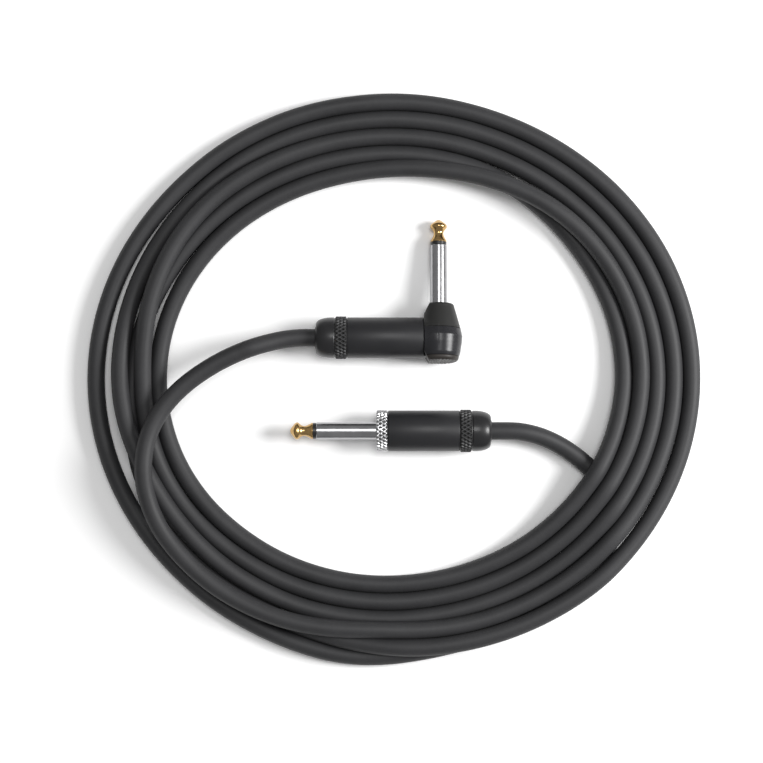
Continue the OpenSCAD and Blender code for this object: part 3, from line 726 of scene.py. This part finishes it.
def gland_nut(plug, face, way, body):
    """Knurled ring, then a dome whose edge is a quarter ellipse down to the flat mouth, and
    the threaded bore, cone and mouth inside."""
    end = NUT_RING_LENGTH + DOME_LENGTH
    quarter = np.radians(np.linspace(0, 90, 19))
    dome_start = NUT_RING_LENGTH + DOME_FLAT
    ring_rows = [
        (at, NUT_RING_RADIUS) for at in np.linspace(0.2, NUT_RING_LENGTH - 0.2, KNURL_ROWS)
    ]
    dome_rows = np.stack([
        dome_start + (end - dome_start) * np.sin(quarter),
        DOME_END_RADIUS + (BARREL_RADIUS - DOME_END_RADIUS) * np.cos(quarter),
    ], 1).tolist()
    rows = (
        [(0, NUT_THREAD_BORE), (0, NUT_RING_RADIUS - 0.65), (0.1, NUT_RING_RADIUS - KNURL_FOOT)]
        + ring_rows
        + [(NUT_RING_LENGTH - 0.1, NUT_RING_RADIUS - KNURL_FOOT),
           (NUT_RING_LENGTH, BARREL_RADIUS - 0.25),
           (NUT_RING_LENGTH + 0.25, BARREL_RADIUS - 0.2), (NUT_RING_LENGTH + 0.45, BARREL_RADIUS)]
        + dome_rows
        + [(end, GROMMET_RADIUS), (end - GROMMET_LENGTH, GROMMET_RADIUS),
           (end - GROMMET_LENGTH, NUT_CABLE_BORE), (7.0, NUT_CABLE_BORE), (7.0, 4.2), (4.6, 5.2),
           (4.3, NUT_THREAD_BORE)]
    )
    piece = turned(
        plug + "_nut_knurled", rows, face, way, sides=KNURL_SIDES, closed=True,
        grow=knurl(0.2, NUT_RING_LENGTH - 0.2),
    )
    glossy = (np.array(rows)[:, 0] > NUT_RING_LENGTH - 0.05).astype(float)
    mark = piece.data.attributes.new("dome", "FLOAT", "POINT")
    mark.data.foreach_set("value", np.repeat(glossy, KNURL_SIDES))
    piece.data.materials.append(nut_black)
    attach(piece, body)
    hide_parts(plug + "_nut")


def rubber_finish():
    """Soft black rubber, matt and slightly dusty."""
    finish = Finish("grommet_rubber")
    dust = finish.noise(finish.place(), 500.0)
    finish.set(
        Base_Color=finish.blend(dust, (0.014, 0.014, 0.014, 1), (0.028, 0.028, 0.028, 1)),
        Roughness=finish.range(dust, 0.3, 0.7, 0.6, 0.8),
    )
    finish.bump(dust, 0.00004, 0.4)
    return finish.material


rubber = rubber_finish()


def grommet(plug, face, way, body):
    """Soft ring with a rounded lip that stands just out of the dome's mouth."""
    end = NUT_RING_LENGTH + DOME_LENGTH
    lip = np.radians(np.linspace(90, 0, 9))
    rows = (
        [(end - GROMMET_LENGTH, GROMMET_BORE), (end - GROMMET_LENGTH, 4.25), (end, 4.25)]
        + np.stack([end + 0.3 * np.cos(lip), GROMMET_BORE + 0.75 * np.sin(lip)], 1).tolist()
    )
    piece = turned(plug + "_grommet_ring", rows, face, way, closed=True)
    piece.data.materials.append(rubber)
    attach(piece, body)
    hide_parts(plug + "_grommet")


for plug, face, way in (
    ("straight", straight_nut_face, straight_way),
    ("angle", angle_nut_face, angle_cable_way),
):
    gland_nut(plug, face, way, plug + "_nut_turn")
    grommet(plug, face, way, plug + "_nut_turn")

# ---------------------------------------------------------------------------
# Head of the right-angle plug: two black castings that meet at a seam across the pin. The
# nose tapers to the pin, and the housing below it carries the arm and the heel's opening.
# ---------------------------------------------------------------------------
SEAM = 3.2
SHOULDER = 12.6
HEEL = -9.0
HEEL_SEAM = -7.1
TAPER_END = 11.4
HEAD_TAPER = [
    (HEEL_SEAM, 7.35), (-6.0, 7.75), (-2.0, 8.4), (0.4, 8.6), (SEAM, 8.05), (TAPER_END, 5.75),
]
SHOULDER_START = 8.4
SHOULDER_FALL = 0.5
HEEL_START = -5.8
HEEL_FALL = 0.55
HEAD_SIDES = 180
head_along = pin_way
head_right = np.array([1.0, 0.0, 0.0])
head_up = np.cross(head_right, head_along)


def arm_face(distance, angle):
    """Reach of the flat face towards the barrel: its distance over the cosine. It falls away
    above the barrel towards the shoulder, and below it towards the heel."""
    above = SHOULDER_FALL * np.maximum(distance - SHOULDER_START, 0)
    below = HEEL_FALL * np.maximum(HEEL_START - distance, 0)
    away = -np.cos(angle)
    return np.where(away > 0.02, (ARM_LENGTH - 0.02 - above - below) / np.maximum(away, 0.02), 1e3)


def head_section(distance, radius, angle):
    """Radius of the head round the pin at one height. It is the turned body's radius or, on
    the arm's side, the arm's half width over the sine, whichever is more, cut flat where the
    barrel meets it."""
    away = -np.cos(angle)
    arm_half = np.sqrt(np.maximum(BARREL_RADIUS ** 2 - distance ** 2, 0.01))
    arm = np.minimum(arm_half / np.maximum(np.abs(np.sin(angle)), 1e-3), 30.0)
    blunt = 10.0
    union = (radius ** blunt + arm ** blunt) ** (1 / blunt)
    return np.minimum(np.where(away > 0.02, union, radius), arm_face(distance, angle))


def head_rows(rows):
    """Rings of the head from rows of (distance along the pin, radius, plain). A plain row is a
    true circle, such as the pin's bore."""
    angle = np.linspace(0, 2 * np.pi, HEAD_SIDES, endpoint=False) + np.pi / HEAD_SIDES
    rings = []
    for distance, radius, plain in rows:
        reach = radius + 0 * angle if plain else head_section(distance, radius, angle)
        ring = reach[:, None] * (head_right * np.cos(angle)[:, None] + head_up * np.sin(angle)[:, None])
        rings.append(angle_origin + distance * head_along + ring)
    return np.array(rings)


def head_radius(distance):
    """Taper of the turned body: widest beside the barrel's axis, straight up to the shoulder
    and a little in towards the heel."""
    return np.interp(distance, *np.transpose(HEAD_TAPER))


def nose():
    """Upper casting: up the taper from the seam, over the rounded shoulder and down the bore
    that holds the pin."""
    rise = np.linspace(SEAM + 0.15, TAPER_END, 34)
    shoulder = np.radians(np.linspace(0, 80, 9))
    rows = [(SEAM + 0.04, 6.4, True), (SEAM + 0.04, head_radius(SEAM) - 0.14, False)]
    rows += [(at, head_radius(at), False) for at in rise]
    rows += [(TAPER_END + 1.2 * np.sin(a), 4.65 + 1.1 * np.cos(a), False) for a in shoulder[1:]]
    rows += [(SHOULDER, 4.4, False), (SHOULDER, PIN_BORE, True), (6.0, PIN_BORE, True), (6.0, 5.2, True)]
    return ringed("angle_nose_cast", head_rows(rows), closed=True)


def housing():
    """Lower casting: down from the seam past the arm to the heel, with a round bore through
    it."""
    fall = np.linspace(SEAM - 0.2, HEEL_SEAM + 0.12, 46)
    rows = [(SEAM - 0.04, 5.3, True), (SEAM - 0.04, head_radius(SEAM) - 0.12, False)]
    rows += [(at, head_radius(at) + 0.05, False) for at in fall]
    rows += [(HEEL_SEAM, head_radius(HEEL_SEAM) - 0.08, False), (HEEL_SEAM, 5.4, True)]
    return ringed("angle_housing_cast", head_rows(rows[::-1]), closed=True)


def cast_finish(name, low, high, rough_low, rough_high, grain):
    """Lacquered casting: the nose keeps the grain of its mould and the housing is smoother."""
    finish = Finish(name, Specular_IOR_Level=0.35)
    where = finish.place()
    pits = finish.noise(where, grain, detail=3.0)
    cloud = finish.noise(where, 110.0)
    finish.set(
        Base_Color=finish.blend(cloud, low, high),
        Roughness=finish.range(cloud * 0.5 + pits * 0.5, 0.3, 0.7, rough_low, rough_high),
    )
    finish.bump(pits, 0.00005, 0.4)
    return finish.material


nose_black = cast_finish(
    "nose_black", (0.014, 0.014, 0.014, 1), (0.021, 0.021, 0.020, 1), 0.42, 0.55, 1700.0
)
housing_black = cast_finish(
    "housing_black", (0.013, 0.013, 0.015, 1), (0.019, 0.019, 0.022, 1), 0.24, 0.34, 900.0
)
for piece, material, node in (
    (nose(), nose_black, "angle_nose"),
    (housing(), housing_black, "angle_housing"),
):
    piece.data.materials.append(material)
    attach(piece, "root")
    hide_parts(node)

# ---------------------------------------------------------------------------
# Heel cap: a dark moulded plug that pushes into the heel and pulls off to reach the solder
# joints. Plain ribs cross its face for grip.
# ---------------------------------------------------------------------------
RIB_PITCH = 1.25
RIB_HEIGHT = 0.3


def heel_cap():
    """Rings from the skirt out over the rounded edge to the middle of the face. Ribs stand out
    of the face by a rounded wave in x."""
    edge = np.radians(np.linspace(0, 90, 12))
    rows = [(HEEL_SEAM + 1.1, 4.6), (HEEL_SEAM + 1.1, 5.2), (HEEL_SEAM - 0.06, 5.2)]
    seat_radius = head_radius(HEEL_SEAM)
    rows += [(HEEL_SEAM - 0.06, seat_radius - 0.1), (HEEL_SEAM - 0.2, seat_radius - 0.02)]
    rows += [(HEEL + 1.5 - 1.5 * np.sin(a), 5.6 + 1.65 * np.cos(a)) for a in edge]
    rows += [(HEEL, r) for r in np.linspace(5.3, 0.15, 26)]
    angle = np.linspace(0, 2 * np.pi, HEAD_SIDES, endpoint=False) + np.pi / HEAD_SIDES
    rings = []
    for distance, radius in rows:
        reach = np.minimum(radius, arm_face(distance, angle) - 0.03)
        x = reach * np.cos(angle)
        wave = np.clip(1.6 * np.cos(2 * np.pi * x / RIB_PITCH), -1, 1) * 0.5 + 0.5
        fade = np.clip((6.4 - radius) / 0.5, 0, 1) * (distance < HEEL + 0.8)
        drop = distance - RIB_HEIGHT * wave * fade + RIB_HEIGHT * fade
        ring = reach[:, None] * (head_right * np.cos(angle)[:, None] + head_up * np.sin(angle)[:, None])
        rings.append(angle_origin + drop[:, None] * head_along + ring)
    return ringed("angle_heel_cap_moulded", np.array(rings[::-1]))


heel = heel_cap()
heel.data.materials.append(
    cast_finish("heel_plastic", (0.022, 0.019, 0.017, 1), (0.034, 0.029, 0.026, 1), 0.4, 0.55, 1200.0)
)
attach(heel, "angle_heel_cap")
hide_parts("angle_heel_cap")

# ---------------------------------------------------------------------------
# Inside the plugs: lugs, washers, wires, solder, liners and chucks. They show only when a
# barrel, nut or cap is off, and keep the frame's own shapes.
# ---------------------------------------------------------------------------


def inner_finish(name, low, high, rough, metallic=0.0, scale=400.0, depth=0.00003):
    """One inner material: two close tones over a fine noise, and the same noise as relief."""
    finish = Finish(name, Metallic=metallic)
    cloud = finish.noise(finish.place(), scale)
    finish.set(
        Base_Color=finish.blend(cloud, low + (1,), high + (1,)),
        Roughness=finish.range(cloud, 0.3, 0.7, rough - 0.06, rough + 0.08),
    )
    finish.bump(cloud, depth, 0.4)
    return finish.material


tinned = inner_finish("tinned_brass", (0.62, 0.58, 0.48), (0.74, 0.71, 0.62), 0.3, 1.0)
nylon = inner_finish("natural_nylon", (0.72, 0.69, 0.60), (0.80, 0.78, 0.70), 0.45)
acetal = inner_finish("white_acetal", (0.62, 0.62, 0.59), (0.70, 0.70, 0.67), 0.4)
fibre = inner_finish("red_fibre", (0.26, 0.10, 0.06), (0.36, 0.16, 0.09), 0.7, scale=900.0)
copper = inner_finish("bare_copper", (0.66, 0.34, 0.20), (0.78, 0.46, 0.30), 0.28, 1.0, 1500.0, 0.0001)
solder = inner_finish("solder_tin", (0.55, 0.55, 0.56), (0.68, 0.68, 0.69), 0.25, 1.0)
polythene = inner_finish("core_polythene", (0.70, 0.70, 0.68), (0.78, 0.78, 0.76), 0.35)
INNER = {
    "core_tube": nylon, "ground_lug": tinned, "lug_washer": fibre, "tip_lug": tinned,
    "core_wire": polythene, "shield": copper, "solder": solder, "liner": nylon, "chuck": acetal,
}
for plug in ("straight", "angle"):
    for part, material in INNER.items():
        mesh = frame["nodes"][plug + "_" + part].data
        mesh.materials.clear()
        mesh.materials.append(material)

# ---------------------------------------------------------------------------
# Floor and light: a white sweep that the camera sees as pure white and that keeps the
# shadow, one broad soft light from the right and a weak even fill from all round.
# ---------------------------------------------------------------------------
FLOOR_SIZE = 6.0
FILL = 0.33
KEY_POWER = 9.5
KEY_SIZE = 0.4
KEY_PLACE = np.array([0.74, 0.06, 0.52])
TOP_POWER = 5.0
TOP_SIZE = 0.5
TOP_PLACE = np.array([0.1, 0.25, 1.3])


def floor_finish():
    """Matt white. Rays from the camera, also by way of a mirror or glass, see it a little
    brighter, so that its lit part is white."""
    finish = Finish("floor_white", Roughness=0.9, Specular_IOR_Level=0.0)
    seen = sum(
        finish.node("ShaderNodeLightPath", output=ray)
        for ray in ("Is Camera Ray", "Is Glossy Ray", "Is Transmission Ray")
    )
    finish.set(Base_Color=finish.blend(seen, (0.8, 0.8, 0.8, 1), (1.08, 1.08, 1.08, 1)))
    return finish.material


half = FLOOR_SIZE / 2
sweep = bpy.data.meshes.new("floor")
sweep.from_pydata(
    [(-half, -half, 0), (half, -half, 0), (half, half, 0), (-half, half, 0)], [], [(0, 1, 2, 3)]
)
floor = bpy.data.objects.new("floor", sweep)
floor.location.z = float(min(cad_box[0][2], 0.0))
floor.data.materials.append(floor_finish())
bpy.context.scene.collection.objects.link(floor)

world = bpy.data.worlds.new("room")
world.use_nodes = True
world.node_tree.nodes["Background"].inputs["Color"].default_value = (1, 1, 1, 1)
world.node_tree.nodes["Background"].inputs["Strength"].default_value = FILL
bpy.context.scene.world = world


def softbox(name, place, power, size):
    """Round soft light at place from the coil's middle, turned to shine at it."""
    light = bpy.data.lights.new(name, "AREA")
    light.shape = "DISK"
    light.size = size
    light.energy = power
    lamp = bpy.data.objects.new(name, light)
    lamp.location = coil_middle + place
    aim = -place / np.linalg.norm(place)
    lamp.rotation_euler = (math.acos(-aim[2]), 0.0, math.atan2(aim[1], aim[0]) - math.pi / 2)
    bpy.context.scene.collection.objects.link(lamp)


softbox("key", KEY_PLACE, KEY_POWER, KEY_SIZE)
softbox("top", TOP_PLACE, TOP_POWER, TOP_SIZE)
